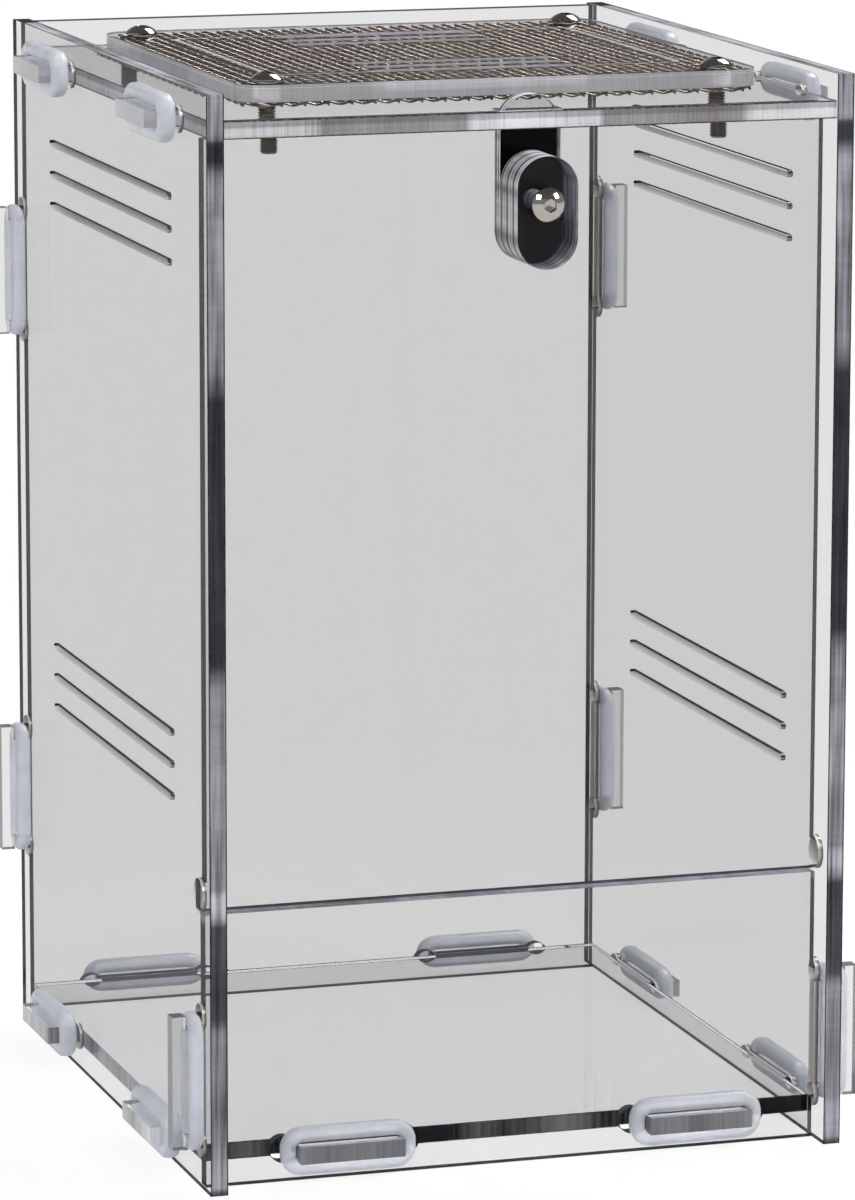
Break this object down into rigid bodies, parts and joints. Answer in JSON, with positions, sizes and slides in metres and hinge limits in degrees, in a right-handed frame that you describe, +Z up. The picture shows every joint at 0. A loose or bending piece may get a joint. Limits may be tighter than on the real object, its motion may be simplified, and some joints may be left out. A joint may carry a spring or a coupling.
{
  "type": "small animal enclosure",
  "caption": "Upright clear acrylic small-animal enclosure with ringed tab joints, a drop-down front door, a sliding door latch and a screwed mesh vent lid.",
  "frame": {"origin": "centre of the whole part's box, at the level of the table it stands on", "axes": "+Z up, +X to the right seen from the front, the door faces -Y"},
  "size_m": [0.122, 0.1382, 0.185],
  "materials": {
    "clear_acrylic": "clear laser-cut cast acrylic sheet",
    "latch_acrylic": "laser-cut acrylic that shows dark faces",
    "silicone": "milky translucent moulded silicone",
    "steel_mesh": "woven stainless wire",
    "stainless": "polished stainless steel"
  },
  "bodies": {
    "frame": {"left_panel": "clear_acrylic", "right_panel": "clear_acrylic", "back_panel": "clear_acrylic", "lower_front_panel": "clear_acrylic", "floor_panel": "clear_acrylic", "lid_plate": "clear_acrylic", "lid_top_plate": "clear_acrylic", "lid_mesh": "steel_mesh", "lid_screws": "stainless", "ring_floor_left_front": "silicone", "ring_lid_left_front": "silicone", "ring_floor_left_back": "silicone", "ring_lid_left_back": "silicone", "ring_back_left_low": "silicone", "ring_back_left_high": "silicone", "ring_front_left": "silicone", "ring_floor_front_left": "silicone", "ring_floor_back_left": "silicone", "ring_floor_right_front": "silicone", "ring_lid_right_front": "silicone", "ring_floor_right_back": "silicone", "ring_lid_right_back": "silicone", "ring_back_right_low": "silicone", "ring_back_right_high": "silicone", "ring_front_right": "silicone", "ring_floor_front_right": "silicone", "ring_floor_back_right": "silicone"},
    "door": {"door_panel": "clear_acrylic"},
    "latch": {"latch_tongue": "latch_acrylic", "latch_grip_1": "latch_acrylic", "latch_grip_2": "latch_acrylic", "latch_grip_3": "latch_acrylic", "latch_screw": "stainless", "latch_washer": "stainless", "latch_nut": "stainless"}
  },
  "joints": [
    {"name": "door_hinge", "type": "hinge", "parent": "frame", "child": "door", "pos_m": [0, -0.05387, 0.05], "axis": [1, 0, 0], "range_deg": [0, 105]},
    {"name": "latch_slide", "type": "slide", "parent": "door", "child": "latch", "axis": [0, 0, -1], "range_m": [0, 0.007]}
  ]
}
